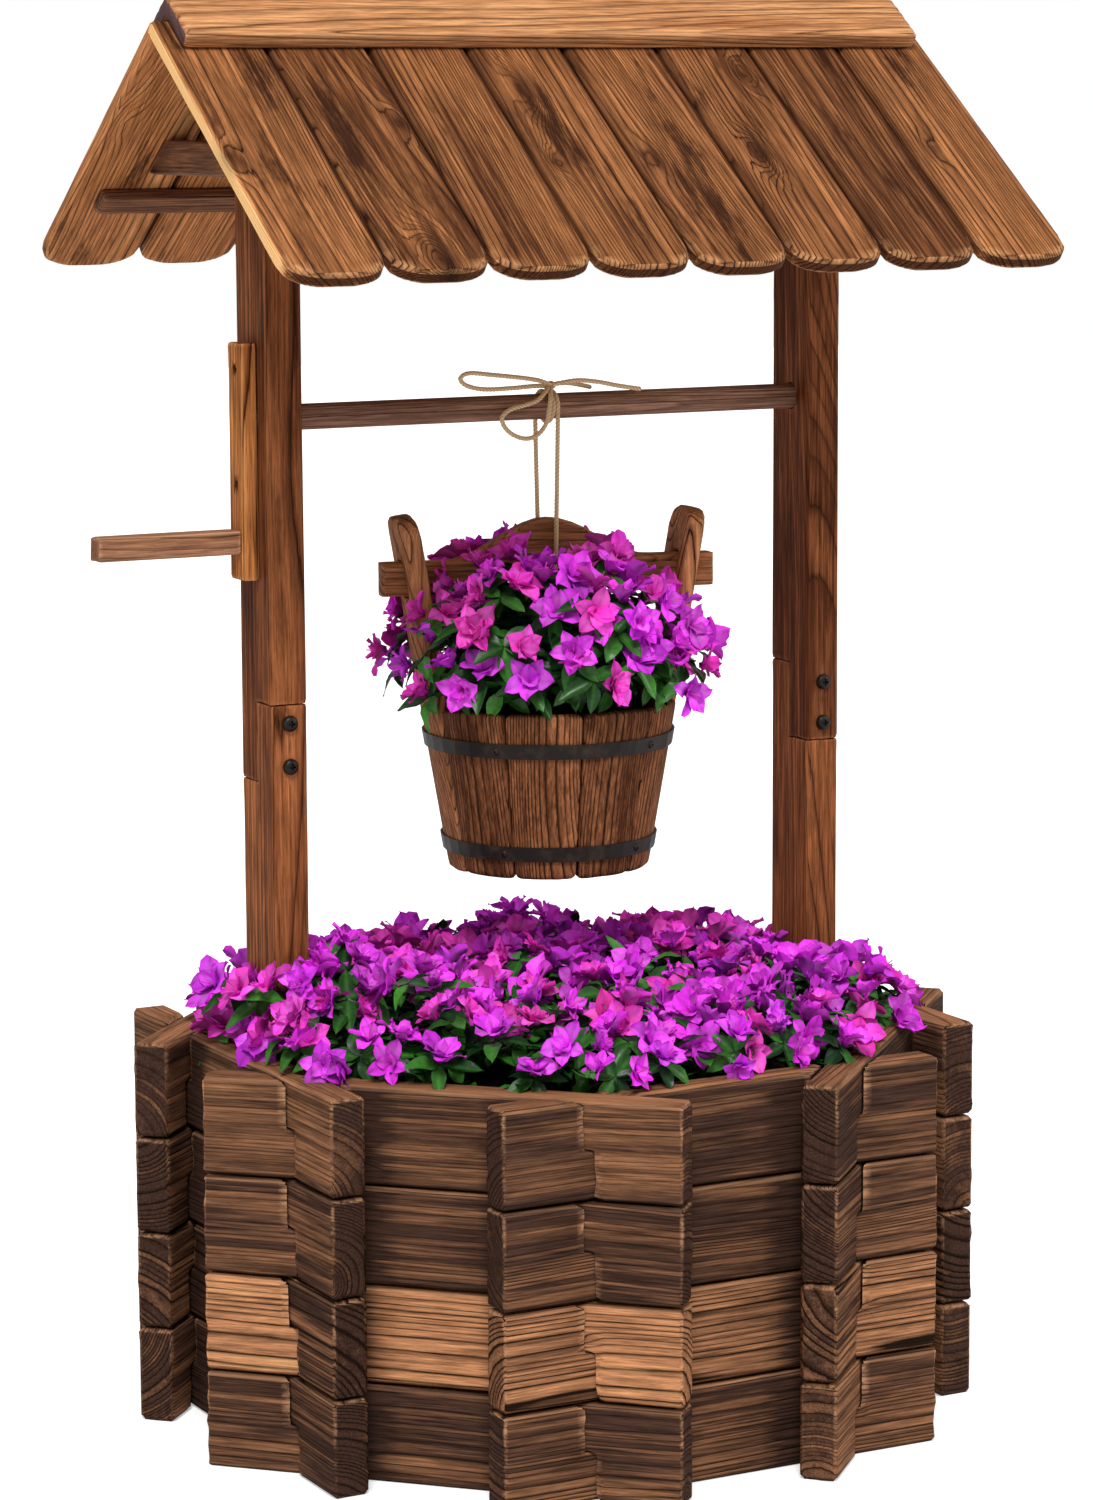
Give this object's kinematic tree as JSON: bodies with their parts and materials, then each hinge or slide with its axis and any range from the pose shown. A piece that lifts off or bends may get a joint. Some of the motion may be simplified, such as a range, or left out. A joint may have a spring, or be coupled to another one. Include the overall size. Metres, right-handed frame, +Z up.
{
  "type": "wishing well planter",
  "caption": "Octagonal wooden wishing well planter of half-lapped boards, with a gabled roof on two posts, a crank and roller, and a flower bucket hung on twine.",
  "frame": {"origin": "middle of the whole object's footprint on the ground, halfway between the crank handle's end and the roof's far end", "axes": "+Z up; X along the roller, with the crank at -X; -Y is the front, where the bow and the bolt heads are"},
  "size_m": [0.71, 0.6604, 1.0998],
  "materials": {
    "fir": "brushed, stained",
    "roof_fir": "brushed, stained",
    "light_fir": "stained light",
    "black_steel": "black, satin",
    "jute": "twisted fibre"
  },
  "bodies": {
    "frame": {"course_1_front_board": "fir", "course_1_front_right_board": "fir", "course_1_right_board": "fir", "course_1_back_right_board": "fir", "course_1_back_board": "fir", "course_1_back_left_board": "fir", "course_1_left_board": "fir", "course_1_front_left_board": "fir", "course_2_front_board": "fir", "course_2_front_right_board": "fir", "course_2_right_board": "fir", "course_2_back_right_board": "fir", "course_2_back_board": "fir", "course_2_back_left_board": "fir", "course_2_left_board": "fir", "course_2_front_left_board": "fir", "course_3_front_board": "fir", "course_3_front_right_board": "fir", "course_3_right_board": "fir", "course_3_back_right_board": "fir", "course_3_back_board": "fir", "course_3_back_left_board": "fir", "course_3_left_board": "fir", "course_3_front_left_board": "fir", "course_4_front_board": "fir", "course_4_front_right_board": "fir", "course_4_right_board": "fir", "course_4_back_right_board": "fir", "course_4_back_board": "fir", "course_4_back_left_board": "fir", "course_4_left_board": "fir", "course_4_front_left_board": "fir", "left_lower_post": "fir", "left_upper_post": "fir", "left_upper_splice_bolt": "black_steel", "left_lower_splice_bolt": "black_steel", "left_gable_tie": "fir", "right_lower_post": "fir", "right_upper_post": "fir", "right_upper_splice_bolt": "black_steel", "right_lower_splice_bolt": "black_steel", "right_gable_tie": "fir", "front_roof_boards": "roof_fir", "back_roof_boards": "roof_fir", "front_roof_batten": "fir", "back_roof_batten": "fir", "ridge_boards": "light_fir"},
    "windlass": {"roller": "fir", "crank_arm": "roof_fir", "crank_handle": "roof_fir", "twine_bow": "jute"},
    "sling": {"twine_sling": "jute"},
    "bucket": {"back_staves": "fir", "front_staves": "fir", "right_lug_stave": "roof_fir", "left_lug_stave": "roof_fir", "bucket_bottom": "fir", "upper_hoop": "black_steel", "lower_hoop": "black_steel", "yoke": "roof_fir"}
  },
  "joints": [
    {"name": "windlass_turn", "type": "hinge", "parent": "frame", "child": "windlass", "pos_m": [0.0254, 0, 0.7856], "axis": [1, 0, 0], "range_deg": [0, 280]},
    {"name": "bucket_swing", "type": "hinge", "parent": "frame", "child": "sling", "pos_m": [0.0254, 0, 0.7856], "axis": [1, 0, 0], "range_deg": [-30, 30]},
    {"name": "bucket_lift", "type": "slide", "parent": "sling", "child": "bucket", "axis": [0, 0, 1], "range_m": [0, 0.057], "deforming": ["twine_sling"]}
  ],
  "couplings": [
    {"joint": "bucket_lift", "follows": "windlass_turn", "m_per_rad": 0.0116}
  ]
}
